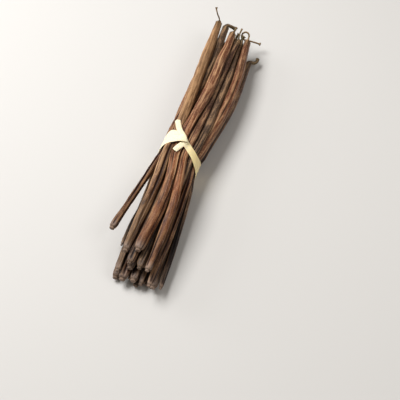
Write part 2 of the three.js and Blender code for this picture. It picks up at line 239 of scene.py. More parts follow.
def wished_place(pod, x):
    """Where a pod would lie if it were alone: from its place in the tie to each of its ends."""
    turn = math.radians(pod.turn)
    tie_y = OVAL_HALF_WIDTH * pod.share * math.cos(turn)
    tie_z = OVAL_Z + OVAL_HALF_HEIGHT * pod.share * math.sin(turn)
    end = pod.blossom if x < 0 else pod.stem
    way = min(abs(x / end[0]), SPLAY_BEYOND)
    ease = way * (1 + SPLAY_EARLY - SPLAY_EARLY * way)
    bow = pod.bows[0 if x < 0 else 1] * math.sin(math.pi * min(way, 1))
    return tie_y + (end[1] - tie_y) * ease + bow, tie_z + (end[2] - tie_z) * ease


def push_apart(row):
    """Neighbours that press into each other at one station are pushed apart."""
    spots = [spot for spot in row if spot.there]
    for i, a in enumerate(spots):
        for b in spots[i + 1 :]:
            dy, dz = b.y - a.y, b.z - a.z
            apart = math.hypot(dy, dz)
            need = a.thick + b.thick
            if apart >= need or apart < SAME_PLACE:
                continue
            push = 0.5 * (need - apart) / apart
            a.y -= dy * push
            a.z -= dz * push
            b.y += dy * push
            b.z += dz * push


def hold_in(spot, x):
    """A pod stays inside the tie's oval and above the surface that the bundle lies on."""
    turn = math.atan2((spot.z - OVAL_Z) / OVAL_HALF_HEIGHT, spot.y / OVAL_HALF_WIDTH)
    swell = OVAL_SWELL * max(0.0, abs(x - band_along(turn)) - PINCH_HALF_LENGTH)
    room_y = OVAL_HALF_WIDTH + swell - spot.thick
    room_z = OVAL_HALF_HEIGHT + swell - spot.thick
    out = math.hypot(spot.y / room_y, (spot.z - OVAL_Z) / room_z)
    if out > 1:
        spot.y /= out
        spot.z = OVAL_Z + (spot.z - OVAL_Z) / out
    spot.z = max(spot.z, spot.thick * FLATNESS - FLAT_SPOT)


def settled_rows(pods):
    """rows[k][i] is where pod i lies at station k."""
    rows = []
    for k in range(STATIONS):
        x = station_x(k)
        row = []
        for pod in pods:
            y, z = wished_place(pod, x)
            there = pod.blossom[0] - STATION_STEP < x < pod.stem[0] + STATION_STEP
            row.append(SimpleNamespace(
                y=y, z=z, wish_y=y, wish_z=z, there=there, thick=half_thickness(pod, x)
            ))
        rows.append(row)
    for _ in range(SETTLE_ROUNDS):
        for i in range(len(pods)):
            for k, row in enumerate(rows):
                spot = row[i]
                before = rows[max(k - 1, 0)][i]
                after = rows[min(k + 1, STATIONS - 1)][i]
                spot.y += SETTLE_SMOOTH * ((before.y + after.y) / 2 - spot.y)\
                    + SETTLE_PULL * (spot.wish_y - spot.y)
                spot.z += SETTLE_SMOOTH * ((before.z + after.z) / 2 - spot.z)\
                    + SETTLE_PULL * (spot.wish_z - spot.z)
        for k, row in enumerate(rows):
            push_apart(row)
            for spot in row:
                hold_in(spot, station_x(k))
    return rows


def spline_weights(t):
    """The shares of four neighbours in a smooth curve at t, from the second to the third."""
    return (
        0.5 * (-t + 2 * t * t - t**3),
        0.5 * (2 - 5 * t * t + 3 * t**3),
        0.5 * (t + 4 * t * t - 3 * t**3),
        0.5 * (t**3 - t * t),
    )


def place_on_line(rows, number, x):
    """A pod's middle at x, on a smooth curve through its settled places."""
    share = (x - FIRST_STATION) / STATION_STEP
    k = int(clamp(math.floor(share), 1, STATIONS - 3))
    spots = [rows[k + step][number] for step in (-1, 0, 1, 2)]
    weights = spline_weights(share - k)
    y = sum(w * spot.y for w, spot in zip(weights, spots))
    z = sum(w * spot.z for w, spot in zip(weights, spots))
    return Vector((x, y, z))


# ---- Adding nodes, pieces and materials ----


def add(tree, kind, inputs, gives=None, **settings):
    """Adds a node with its settings, sets or links its inputs, and returns the output asked for."""
    node = tree.nodes.new(kind)
    for name, value in settings.items():
        setattr(node, name, value)
    for name, value in inputs.items():
        socket = next(s for s in node.inputs if s.identifier == name)
        if isinstance(value, bpy.types.NodeSocket):
            tree.links.new(value, socket)
        else:
            socket.default_value = value
    return next((s for s in node.outputs if s.identifier == gives), None)


def new_material(name):
    """An empty material, and its node tree."""
    material = bpy.data.materials.new(name)
    material.use_nodes = True
    material.node_tree.nodes.clear()
    return material, material.node_tree


def finish_piece(name, bm, material, node):
    """Turns a bmesh into a smooth piece that rides on the bundle in place of a node."""
    bmesh.ops.recalc_face_normals(bm, faces=bm.faces)
    for face in bm.faces:
        face.smooth = True
    mesh = bpy.data.meshes.new(name)
    bm.to_mesh(mesh)
    bm.free()
    mesh.materials.append(material)
    piece = bpy.data.objects.new(name, mesh)
    bpy.context.collection.objects.link(piece)
    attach(piece, ROOT)
    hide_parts(node)
    return piece


# ---- Vanilla pods ----

# The blossom end, as (mm from the end, share of the half thickness): a scar where the flower
# broke off, a groove behind it, and the pod's blunt shoulder.
SCAR_DISH = 0.18
BLOSSOM_CAP = (
    (0.0, 0.3), (0.04, 0.44), (0.2, 0.56), (0.5, 0.6), (0.78, 0.54), (0.95, 0.53),
    (1.15, 0.63), (1.45, 0.76), (2.0, 0.88), (2.9, 0.96), (4.2, 1.0),
)
# The knob at the tip of the stalk, as (share of its length, share of its flare).
KNOB_LENGTH, KNOB_BACK = 1.0, 0.25
KNOB = ((0.0, 0.0), (0.35, 0.4), (0.65, 0.9), (0.85, 1.0), (1.0, 0.6))
STALK_STEP = 0.32

# The lines that shrinking leaves along a pod: how many there are, how far they wander round it in
# radians, the lengths of one wander and of one fade, their widths in radians, the height of the
# least as a share of the greatest, and the share of both in the blossom and in the stem half.
LineRule = namedtuple("LineRule", "count wander wander_lengths fade_lengths widths least halves")
CREASES = LineRule(4, 0.18, (70, 190), (30, 110), (0.16, 0.36), 0.3, (1.3, 0.5))
CRESTS = LineRule(6, 0.18, (80, 200), (30, 110), (0.06, 0.13), 0.3, (1.2, 0.8))
WRINKLES = LineRule(30, 0.1, (22, 70), (7, 30), (0.04, 0.08), 0.35, (1.0, 0.6))
# How unevenly they are spaced, and how their height fades along the pod.
LINE_UNEVENNESS = 0.32
LINE_LEVEL, LINE_SWING = 0.68, 0.55
# The half thickness at which the lines have their plain widths. On thinner stretches they get
# wider round the pod, up to LINES_WIDEST times, and the blossom and stem half widen them too.
LINES_FIT, LINES_WIDEST = 2.3, 1.7
LINES_WIDEN = (1.2, 1.5)
# Where along X a pod gets plumper, the share of the lines left on its stalk, and where they start.
PLUMP_RUN = (-15, 35)
STALK_LINES, LINES_START = 0.4, (0.6, 3.5)

# A slow wave is the sum of two: how long the second is beside the first, and the share of both.
SHORT_WAVE = 0.39
LONG_WAVE_SHARE, SHORT_WAVE_SHARE = 0.7, 0.3

# A pod's section, in shares of its half thickness: how full it is between its lines, how far it
# is squashed flat and three-sided, and how far it swells. Then how far the squashing wanders round
# it in radians, the lengths of these changes and of the blushes, and how far a pod twists, in
# radians over TWIST_LENGTH.
FULLNESS, SQUASHED, THREE_SIDED, SWOLLEN = 1.05, 0.09, 0.03, 0.04
SQUASH_WANDER = 0.4
SQUASH_LENGTHS, SWELL_LENGTHS, BLUSH_LENGTHS = (80, 160), (12, 40), (30, 90)
TWIST, TWIST_LENGTH = 0.5, 160
SKIN_SEED = 2000

# How much a wrinkle's depth counts beside a crease's, the depth in the middle of the scar, and how
# near another pod has to be for the skin to be painted dark, as painted shade between the pods.
WRINKLE_WEIGHT, SCAR_DEPTH = 0.7, 0.12
SHADE_BETWEEN_REACH = 1.3

# How strong the amber and ash blushes get, and where along X the amber one fades out.
AMBER_BLUSH, ASH_BLUSH = 0.7, 0.4
AMBER_RUN = (-40, 20)
# From the blossom end: where the moist stretch ends, the dusty tip, and the groove behind the
# scar, painted black as shade. The green of the stalk starts before the neck.
MOIST_RUN = (8, 62)
DUST_LEAST, DUST_SPREAD, DUST_RUN = 0.2, 0.6, (1.5, 6.0)
GROOVE_AT, GROOVE_RUN, GROOVE_SHADE = 1.0, (0.1, 0.7), 0.35
GREEN_SHARE, GREEN_RUN = 0.5, (0, 6)

# How much the oval opens for each mm beyond the tie's edges, and how far the tie still presses.
PRESS_EASE, PRESS_REACH = 0.05, 6.0

Ring = namedtuple("Ring", "middle radius along stalk")


def seeded_waves(random, count, lengths):
    """A function of the way along a piece that gives count slow waves, each from -1 to 1."""
    lengths = random.uniform(*lengths, (2, count))
    starts = random.uniform(0, 2 * math.pi, (2, count))

    def at(along):
        long, short = np.sin(2 * math.pi * along / (lengths * [[1.0], [SHORT_WAVE]]) + starts)
        return LONG_WAVE_SHARE * long + SHORT_WAVE_SHARE * short

    return at


class Lines:
    """Lines that run along a pod at some turns round it, wander slowly and fade in and out."""

    def __init__(self, random, rule, greatest):
        self.rule = rule
        step = 2 * math.pi / rule.count
        uneven = random.uniform(-LINE_UNEVENNESS, LINE_UNEVENNESS, rule.count)
        self.turns = step * (np.arange(rule.count) + uneven)
        self.wanders = seeded_waves(random, rule.count, rule.wander_lengths)
        self.fades = seeded_waves(random, rule.count, rule.fade_lengths)
        self.widths = random.uniform(*rule.widths, rule.count)
        self.heights = random.uniform(rule.least * greatest, greatest, rule.count)

    def at(self, turns, along, widening, plump):
        """How high or deep the lines are at all the turns of the ring at along."""
        centres = self.turns + self.rule.wander * self.wanders(along)
        apart = (turns[:, None] - centres[None, :] + math.pi) % (2 * math.pi) - math.pi
        heights = self.heights * np.clip(LINE_LEVEL + LINE_SWING * self.fades(along), 0, 1)
        lines = heights / (1 + (apart / (self.widths * widening)) ** 2) ** 1.5
        return lines.sum(axis=1) * mix(*self.rule.halves, plump)


class PodSkin:
    """The shrunken skin of one pod: lobes with deep creases between, thin crests and wrinkles."""

    def __init__(self, number, settings):
        random = np.random.default_rng(SKIN_SEED + number)
        self.creases = Lines(random, CREASES, settings.crease_depth)
        self.crests = Lines(random, CRESTS, settings.crest_height)
        self.wrinkles = Lines(random, WRINKLES, settings.wrinkle_depth)
        self.twist = random.uniform(-TWIST, TWIST) / TWIST_LENGTH
        self.squash_turn = random.uniform(0, math.pi)
        self.squash_wander = seeded_waves(random, 1, SQUASH_LENGTHS)
        self.swell = seeded_waves(random, 1, SWELL_LENGTHS)
        self.blush = seeded_waves(random, 2, BLUSH_LENGTHS)

    def at(self, turns, ring):
        """(share of the half thickness, depth in the folds, height of a crest) round a ring."""
        along = ring.along
        turns = turns + self.twist * along
        # The stem half is plumper, so its creases are wider and less deep.
        plump = smooth(ring.middle.x, *PLUMP_RUN) * (1 - ring.stalk)
        widening = min(LINES_FIT / ring.radius, LINES_WIDEST) * mix(*LINES_WIDEN, plump)
        creases = self.creases.at(turns, along, widening, plump)
        crests = self.crests.at(turns, along, widening, plump)
        wrinkles = self.wrinkles.at(turns, along, widening, plump)
        squash = self.squash_turn + SQUASH_WANDER * self.squash_wander(along)[0]
        section = SQUASHED * np.cos(2 * (turns - squash))
        section = section + THREE_SIDED * np.cos(3 * (turns + squash))
        swell = SWOLLEN * self.swell(along)[0]
        share = FULLNESS + section + swell - creases + crests - wrinkles
        return share, creases + WRINKLE_WEIGHT * wrinkles, crests


def profile_at(profile, value):
    """The profile's second number where its first is value."""
    return float(np.interp(value, *zip(*profile)))


def body_rings(pod, rows, number, step):
    """The rings of a pod's body, from its blossom end to its neck."""
    start, end = pod.blossom[0], pod.stem[0]
    ways = [way for way, _ in BLOSSOM_CAP]
    count = round((end - start - ways[-1]) / step)
    ways += [mix(ways[-1], end - start, (k + 1) / count) for k in range(count)]
    return [
        Ring(
            place_on_line(rows, number, start + way),
            half_thickness(pod, start + way) * profile_at(BLOSSOM_CAP, way),
            way,
            0.0,
        )
        for way in ways
    ]


def stalk_rings(pod, before_neck, neck):
    """The rings of the stalk, which runs on from the neck and ends in a flared knob."""
    radius, widening, runs = STALKS[pod.stalk]
    middle = neck.middle.copy()
    heading = (neck.middle - before_neck.middle).normalized()
    rings = []
    gone = 0.0
    for length, turn, axis in runs:
        steps = math.ceil(length / STALK_STEP)
        for _ in range(steps):
            heading.rotate(Quaternion(axis, math.radians(turn / steps)))
            middle = middle + heading * (length / steps)
            gone += length / steps
            slim = smooth(gone, 0, STALK_RUNOUT)
            rings.append(Ring(middle, mix(neck.radius, radius, slim), neck.along + gone, slim))
    tip = rings[-1]
    start = tip.along - KNOB_BACK
    rings = [ring for ring in rings if ring.along < start]
    for share, flare in KNOB:
        way = share * KNOB_LENGTH - KNOB_BACK
        place = tip.middle + heading * way
        rings.append(Ring(place, radius + widening * flare, tip.along + way, 1.0))
    return rings


def turned_axes(rings):
    """(side, up) of every ring, carried along the pod without twisting."""
    up = Vector((0, 0, 1))
    axes = []
    for k in range(len(rings)):
        ahead = rings[min(k + 1, len(rings) - 1)].middle - rings[max(k - 1, 0)].middle
        ahead.normalize()
        up = (up - ahead * up.dot(ahead)).normalized()
        axes.append((ahead.cross(up), up))
    return axes


def pressed_in(place):
    """A place on a pod's skin, pushed in where the tie holds it and up where it lies."""
    place = Vector(place)
    turn = math.atan2((place.z - OVAL_Z) / OVAL_HALF_HEIGHT, place.y / OVAL_HALF_WIDTH)
    beyond = abs(place.x - band_along(turn)) - band_reach(turn)
    room = 1.0 + PRESS_EASE * max(0.0, beyond)
    out = math.hypot(place.y / OVAL_HALF_WIDTH, (place.z - OVAL_Z) / OVAL_HALF_HEIGHT)
    if out > room and beyond < PRESS_REACH:
        place.y *= room / out
        place.z = OVAL_Z + (place.z - OVAL_Z) * room / out
    place.z = max(place.z, 0.0)
    return place


def tint_at(pod, skin, ring, settings):
    """A ring's skin colour: two skins, a blush, what both ends dry to, and painted groove shade."""
    blossom, stem = (np.array(getattr(settings, name)) for name in pod.skins)
    tint = mix(blossom, stem, clamp(0.5 + ring.middle.x / THICK_BLEND))
    red, grey = skin.blush(ring.along)
    amber_share = AMBER_BLUSH * clamp(red) * (1 - smooth(ring.middle.x, *AMBER_RUN))
    tint = mix(tint, np.array(settings.amber), amber_share)
    tint = mix(tint, np.array(settings.ash), ASH_BLUSH * clamp(grey))
    # The blossom end stays moist and dark, up to a dusty tip, with painted shade in the groove
    # behind the scar.
    tint = tint * mix(settings.moist_end, 1.0, smooth(ring.along, *MOIST_RUN))
    dusty = mix(tint, np.array(settings.scar), DUST_LEAST + DUST_SPREAD * scatter(pod.turn, 13))
    tint = mix(tint, dusty, 1 - smooth(ring.along, *DUST_RUN))
    # Painted shade: the groove behind the scar is darkened.
    tint = tint * mix(GROOVE_SHADE, 1.0, smooth(abs(ring.along - GROOVE_AT), *GROOVE_RUN))
    to_neck = pod.stem[0] - ring.middle.x
    green_share = max(ring.stalk, GREEN_SHARE * (1 - smooth(to_neck, *GREEN_RUN)))
    return mix(tint, np.array(settings.stalk), green_share)


def near_neighbours(places, number, pods, rows, x):
    """How near the skins of the other pods are to each place in a ring, from 0 to 1."""
    near = np.zeros(len(places))
    for other, pod in enumerate(pods):
        if other == number or not pod.blossom[0] < x < pod.stem[0]:
            continue
        middle = place_on_line(rows, other, x)
        gap = np.hypot(places[:, 0] - middle.y, places[:, 1] - middle.z) - half_thickness(pod, x)
        near = np.maximum(near, np.clip(1 - gap / SHADE_BETWEEN_REACH, 0, 1))
    return near


def folded_rings(number, pods, rows, rings, axes, skin, turns):
    """Round each ring: (share of its radius, depth, height of a crest, how near other pods are)."""
    folded = []
    for ring, (side, up) in zip(rings, axes):
        share, depth, crest = skin.at(turns, ring)
        # The lines run out on the scar and get shallower towards the thin stalk.
        keep = mix(1.0, STALK_LINES, ring.stalk) * smooth(ring.along, *LINES_START)
        share = 1 + (share - 1) * keep
        wide = np.cos(turns) * share * ring.radius
        high = np.sin(turns) * share * ring.radius
        places = np.stack([
            ring.middle.y + side.y * wide + up.y * high, ring.middle.z + side.z * wide + up.z * high
        ], axis=1)
        # Painted shade: the skin is darkened where another pod lies close, for the shade between
        # them.
        touch = near_neighbours(places, number, pods, rows, ring.middle.x) * (1 - ring.stalk)
        folded.append((share, depth * keep, crest * keep, touch))
    return folded


def make_pod(number, pods, rows, skin_material, settings):
    """One pod: a round bar that is cut into rings, laid along its line and folded."""
    pod = pods[number]
    body = body_rings(pod, rows, number, settings.ring_step / MM)
    rings = body + stalk_rings(pod, body[-2], body[-1])
    axes = turned_axes(rings)
    skin = PodSkin(number, settings)
    turns = np.arange(settings.sides) * 2 * math.pi / settings.sides
    folded = folded_rings(number, pods, rows, rings, axes, skin, turns)
    tints = [tint_at(pod, skin, ring, settings) for ring in rings]

    bm = bmesh.new()
    bmesh.ops.create_cone(
        bm, cap_ends=True, cap_tris=True, segments=settings.sides, radius1=1, radius2=1, depth=1
    )
    lengthwise = [e for e in bm.edges if abs(e.verts[0].co.z - e.verts[1].co.z) > 0.5]
    bmesh.ops.subdivide_edges(bm, edges=lengthwise, cuts=len(rings) - 2)
    straight = bm.verts.layers.float_vector.new("straight")
    fold_layers = [bm.verts.layers.float.new(name) for name in ("depth", "crest", "touch")]
    tint_layer = bm.verts.layers.float_color.new("tint")
    for vert in bm.verts:
        k = round((vert.co.z + 0.5) * (len(rings) - 1))
        ring, (side, up) = rings[k], axes[k]
        # The bar has one vertex in the middle of each end. The blossom end's is sunk in.
        if vert.co.xy.length < 0.5:
            place = ring.middle - side.cross(up) * (0.0 if k else SCAR_DISH)
            across = Vector((0, 0))
            folds = (SCAR_DEPTH, 0.0, 0.0)
        else:
            turn = math.atan2(vert.co.y, vert.co.x)
            m = round(turn / (2 * math.pi) * settings.sides) % settings.sides
            share, *folds = (values[m] for values in folded[k])
            across = Vector((math.cos(turn), math.sin(turn))) * ring.radius
            place = ring.middle + side * (across.x * share) + up * (across.y * share * FLATNESS)
            place = pressed_in(place)
        vert.co = (place + TIE_MIDDLE) * MM
        vert[straight] = Vector((across.x, across.y, ring.along)) * MM
        for layer, value in zip(fold_layers, folds):
            vert[layer] = value
        vert[tint_layer] = Vector(tints[k])
    return finish_piece(f"vanilla_pod_{number + 1:02d}", bm, skin_material, "pods")


def vanilla_skin(settings):
    """Vanilla pod skin, sweated and sun cured.

    Curing shrinks it in lengthwise folds and turns it dark brown. The folds hold oil and are
    painted nearly black, partly for the oil and partly as painted shade, while their crests dry to
    a dull tan that also serves as a painted highlight, with a soft sheen along the pod. Where pods
    lie close, the skin gets painted shade.
    """
    material, tree = new_material("vanilla_skin_sun_cured")
    straight = add(tree, "ShaderNodeAttribute", {}, "Vector", attribute_name="straight")
    tint = add(tree, "ShaderNodeAttribute", {}, "Color", attribute_name="tint")
    # The third attribute is the painted shade between pods.
    depth, crest, touch = (
        add(tree, "ShaderNodeAttribute", {}, "Fac", attribute_name=name)
        for name in ("depth", "crest", "touch")
    )

    # Fine wrinkles 0.35 mm across and 5 mm long, and patches of dry skin 1 mm by 8 mm.
    grains = []
    for across, long, detail in ((0.35, 5, 3.0), (1.0, 8, 2.0)):
        stretched = add(tree, "ShaderNodeMapping", {
            "Vector": straight,
            "Scale": (1 / (across * MM), 1 / (across * MM), 1 / (long * MM)),
        }, "Vector")
        grains.append(add(tree, "ShaderNodeTexNoise", {
            "Vector": stretched, "Scale": 1.0, "Detail": detail,
        }, "Fac"))
    fine, patch = grains
    # Pores and crumbs of dried sap, 0.5 mm apart.
    pores = add(tree, "ShaderNodeTexNoise", {
        "Vector": straight, "Scale": 1 / (0.5 * MM), "Detail": 2.0,
    }, "Fac")

    # The blossom end keeps more oil than the rest, so it dries to a darker tone.
    along = add(tree, "ShaderNodeSeparateXYZ", {"Vector": straight}, "Z")
    oily_share = add(tree, "ShaderNodeMapRange", {
        "Value": along, "From Min": 62 * MM, "From Max": 12 * MM, "To Max": 0.5,
    }, "Result")
    # Dry tan for patches and crests; on the crests it is also a painted highlight.
    dry_and_highlight = add(tree, "ShaderNodeMix", {
        "Factor_Float": oily_share, "A_Color": settings.dry_and_highlight, "B_Color": tint,
    }, "Result_Color", data_type="RGBA")
    half_dry = add(tree, "ShaderNodeMix", {
        "Factor_Float": 0.4, "A_Color": tint, "B_Color": dry_and_highlight,
    }, "Result_Color", data_type="RGBA")

    # The stem half is plumper and smoother than the blossom half, with fainter streaks of oil.
    shrunk = add(tree, "ShaderNodeMapRange", {
        "Value": along, "From Min": 50 * MM, "From Max": 100 * MM, "To Min": 1.0, "To Max": 0.6,
    }, "Result")
    wet_most = add(tree, "ShaderNodeMath", {
        "Value": shrunk, "Value_001": 0.8,
    }, "Value", operation="MULTIPLY")
    streaks = add(tree, "ShaderNodeMix", {
        "Factor_Float": 0.55, "A_Float": fine, "B_Float": patch,
    }, "Result_Float", data_type="FLOAT")

    # Skin dries in patches and on crests, with sap over both; on the crests the dry tan is also a
    # painted highlight. Oil is in the creases and the streaks, and the creases are darkened further
    # as painted shade, as is the skin where pods lie close.
    dry_share, crest_dry_and_highlight_share, sap_share, crease_oil_and_shade_share, streak_share = (
        add(tree, "ShaderNodeMapRange", {
            "Value": value, "From Min": none, "From Max": full, "To Max": most,
        }, "Result", interpolation_type="SMOOTHSTEP")
        for value, none, full, most in (
            (patch, 0.45, 0.64, 1.0),
            (crest, 0.03, 0.12, 1.0),
            (pores, 0.56, 0.68, 0.55),
            (depth, 0.06, 0.28, 1.0),
            (streaks, 0.49, 0.37, wet_most),
        )
    )
    oil_and_shade_share = crease_oil_and_shade_share
    for other in (streak_share, touch):
        oil_and_shade_share = add(tree, "ShaderNodeMath", {
            "Value": oil_and_shade_share, "Value_001": other,
        }, "Value", operation="MAXIMUM")
    # Oil and painted shade: the dark tone that creases, streaks and near pods multiply the colour
    # by.
    oiled_and_shaded = add(tree, "ShaderNodeMix", {
        "Factor_Float": 1.0, "A_Color": tint, "B_Color": settings.oil_and_shade_tone,
    }, "Result_Color", data_type="RGBA", blend_type="MULTIPLY")
    colour = tint
    for share, over in (
        (dry_share, half_dry), (crest_dry_and_highlight_share, dry_and_highlight), (sap_share, dry_and_highlight), (oil_and_shade_share, oiled_and_shaded),
    ):
        colour = add(tree, "ShaderNodeMix", {
            "Factor_Float": share, "A_Color": colour, "B_Color": over,
        }, "Result_Color", data_type="RGBA")
    roughness = add(tree, "ShaderNodeMapRange", {
        "Value": patch, "From Min": 0.3, "From Max": 0.7, "To Min": 0.42, "To Max": 0.66,
    }, "Result")
    relief = add(tree, "ShaderNodeMix", {
        "Factor_Float": 0.3, "A_Float": fine, "B_Float": pores,
    }, "Result_Float", data_type="FLOAT")
    bumps = add(tree, "ShaderNodeBump", {
        "Height": relief, "Strength": shrunk, "Distance": 0.3 * MM,
    }, "Normal")
    surface = add(tree, "ShaderNodeBsdfPrincipled", {
        "Base Color": colour, "Roughness": roughness, "Normal": bumps,
        "Specular IOR Level": 0.25, "Coat Weight": settings.oil, "Coat Roughness": 0.4,
    }, "BSDF")
    add(tree, "ShaderNodeOutputMaterial", {"Surface": surface})
    return material


class PodSettings(bpy.types.PropertyGroup):
    """Sizes and colours of the vanilla pods"""

    sides: bpy.props.IntProperty(
        name="Sides", description="Faces round a pod", default=96, min=12, max=128
    )
    ring_step: bpy.props.FloatProperty(
        name="Ring Step", description="Length of pod between two rings of faces",
        default=1.2 * MM, min=0.2 * MM, unit="LENGTH",
    )
    crease_depth: bpy.props.FloatProperty(
        name="Crease Depth",
        description="Depth of the deepest creases, as a share of the half thickness",
        default=0.46, min=0, max=0.7, subtype="FACTOR",
    )
    crest_height: bpy.props.FloatProperty(
        name="Crest Height",
        description="Height of the thin crests, as a share of the half thickness",
        default=0.14, min=0, max=0.3, subtype="FACTOR",
    )
    wrinkle_depth: bpy.props.FloatProperty(
        name="Wrinkle Depth",
        description="Depth of the fine wrinkles, as a share of the half thickness",
        default=0.1, min=0, max=0.2, subtype="FACTOR",
    )
    moist_end: bpy.props.FloatProperty(
        name="Moist End", description="How much light the moist blossom end gives back",
        default=0.52, min=0, max=1, subtype="FACTOR",
    )
    oil: bpy.props.FloatProperty(
        name="Oil", description="How much oil shines on the skin", default=0.06, min=0, max=1,
        subtype="FACTOR",
    )
    # On the crests this is also a painted highlight.
    dry_and_highlight: colour_setting("Dry", "Crests and patches where the skin has dried out", "c69c72")
    tan: colour_setting("Tan", "Skin that has dried to a light brown", "8f6b49")
    amber: colour_setting("Amber", "Warm, half dry skin", "784a2a")
    rust: colour_setting("Rust", "Half dry skin with an orange cast", "8a4f2a")
    russet: colour_setting("Russet", "Reddish brown skin", "6a3d28")
    plum: colour_setting("Plum", "Dark, moist skin", "4b3228")
    ash: colour_setting("Ash", "Greyish, dusty skin", "5b4738")
    scar: colour_setting("Scar", "Dusty skin at the blossom end", "9a8679")
    # Also the painted shade in the creases and between pods.
    oil_and_shade_tone: colour_setting("Soaked", "What the skin's colour is multiplied by in oil", "60402b")
    stalk: colour_setting("Stalk", "The dried stalk, which keeps a green cast", "454027")


class VANILLA_OT_lay_pods(bpy.types.Operator):
    """Lays the cured vanilla pods side by side, drawn together where the tie holds them"""

    bl_idname = "vanilla.lay_pods"
    bl_label = "Lay Vanilla Pods"

    def execute(self, context):
        settings = context.scene.vanilla_pods
        pods = all_pods()
        rows = settled_rows(pods)
        skin_material = vanilla_skin(settings)
        for number in range(len(pods)):
            make_pod(number, pods, rows, skin_material, settings)
        return {"FINISHED"}


# ---- Raffia tie ----

# The strip's two ends and the knot, as (place from the middle of the tie, turn of its width from
# X in degrees, half width), in the order in which the strip runs: from the tip of the short end,
# under the other strand, folded back over it, once round the bundle, and out as the long end.
SHORT_END = (
    ((-8.7, 1.4, 22.0), 70, 1.5), ((-6.2, 0.2, 22.0), 66, 1.5), ((-3.9, -0.9, 21.8), 60, 1.5),
    ((-1.7, -1.9, 21.7), 50, 1.6), ((-0.6, -2.7, 22.1), 35, 1.8), ((-0.4, -2.0, 22.9), 20, 2.1),
    ((-0.4, 0.0, 23.1), 8, 2.4), ((-0.1, 1.9, 22.4), 3, 2.8),
)
LONG_END = (
    ((-2.3, -2.4, 21.9), -8, 2.2), ((-0.6, -1.2, 22.2), -20, 1.9), ((1.5, 0.7, 22.4), -38, 1.7),
    ((4.0, 2.8, 22.5), -50, 1.4), ((6.7, 4.6, 22.7), -54, 1.35), ((9.6, 6.1, 23.1), -57, 1.45),
)
FIRST_BAND_TURN, LAST_BAND_TURN, BAND_STATIONS = 68, -250, 30
BAND_LIFT = 0.3
# How far the cut at each end leans, and how far the middle of the strip stands up in the knot.
SHORT_CUT, LONG_CUT = 0.5, -0.8
KNOT_DOME = 0.35
# Lengths along the strip: how far a cut leans into it, where the knot's dome ends and starts
# again, and where the stretch painted a warmer yellow as shade starts and ends. The first run of
# each is measured from the strip's start, the second from its end.
CUT_RUN = 6
KNOT_RUNS = ((8, 20), (16, 8))
SHADE_YELLOW_RUNS = ((34, 60), (24, 9))

# The fibres' ridges are a sum of waves: how many, their lengths along the strip, and the radians
# that they run through from its middle to an edge. Then the lengths over which the edges wander.
RIDGES = 9
RIDGE_LENGTHS, RIDGE_RADIANS = (20, 60), (6.6, 45)
EDGE_LENGTHS = (9, 24)
STRIP_SEED = 7
# The cells of the strip's grid, and the steps of its path between two stations.
CUTS_ACROSS, CUTS_ALONG = 40, 300
SPLINE_STEPS = 12

Station = namedtuple("Station", "place across out half_width")


def outward(place):
    """The way out of the oval at a place."""
    place = Vector((0, place.y / OVAL_HALF_WIDTH**2, (place.z - OVAL_Z) / OVAL_HALF_HEIGHT**2))
    return place.normalized()


def end_station(place, turn, half_width):
    out = outward(Vector(place))
    across = Quaternion(out, math.radians(turn)) @ Vector((1, 0, 0))
    return Station(Vector(place), across, out, half_width)


def band_station(turn):
    place = Vector((
        band_along(turn),
        (OVAL_HALF_WIDTH + BAND_LIFT) * math.cos(turn),
        OVAL_Z + (OVAL_HALF_HEIGHT + BAND_LIFT) * math.sin(turn),
    ))
    return Station(place, Vector((1, 0, 0)), outward(place), band_reach(turn))


def strip_stations(count):
    """Evenly spaced stations along the whole strip, and its length."""
    coarse = [end_station(*row) for row in SHORT_END]
    for k in range(BAND_STATIONS):
        share = k / (BAND_STATIONS - 1)
        coarse.append(band_station(math.radians(mix(FIRST_BAND_TURN, LAST_BAND_TURN, share))))
    coarse += [end_station(*row) for row in LONG_END]
    coarse = [coarse[0]] + coarse + [coarse[-1]]
    fine = []
    for k in range(1, len(coarse) - 2):
        for step in range(SPLINE_STEPS):
            weights = spline_weights(step / SPLINE_STEPS)
            around = coarse[k - 1 : k + 3]
            fine.append([
                sum((w * getattr(one, name) for w, one in zip(weights, around)), zero)
                for name, zero in zip(Station._fields, (Vector(), Vector(), Vector(), 0.0))
            ])
    gone = [0.0]
    for before, after in zip(fine, fine[1:]):
        gone.append(gone[-1] + (after[0] - before[0]).length)
    table = np.array([[*place, *across, *out, width] for place, across, out, width in fine])
    even = np.linspace(0, gone[-1], count)
    table = np.stack([np.interp(even, gone, column) for column in table.T], axis=1)
    rows = [
        Station(Vector(row[0:3]), Vector(row[3:6]), Vector(row[6:9]), float(row[9]))
        for row in table
    ]
    return rows, gone[-1]


def run_between(way, length, runs):
    """0 at both ends of the strip and 1 in between, with an even curve over each run."""
    (start, whole), (back, gone) = runs
    return smooth(way, start, whole) * (1 - smooth(way, length - back, length - gone))


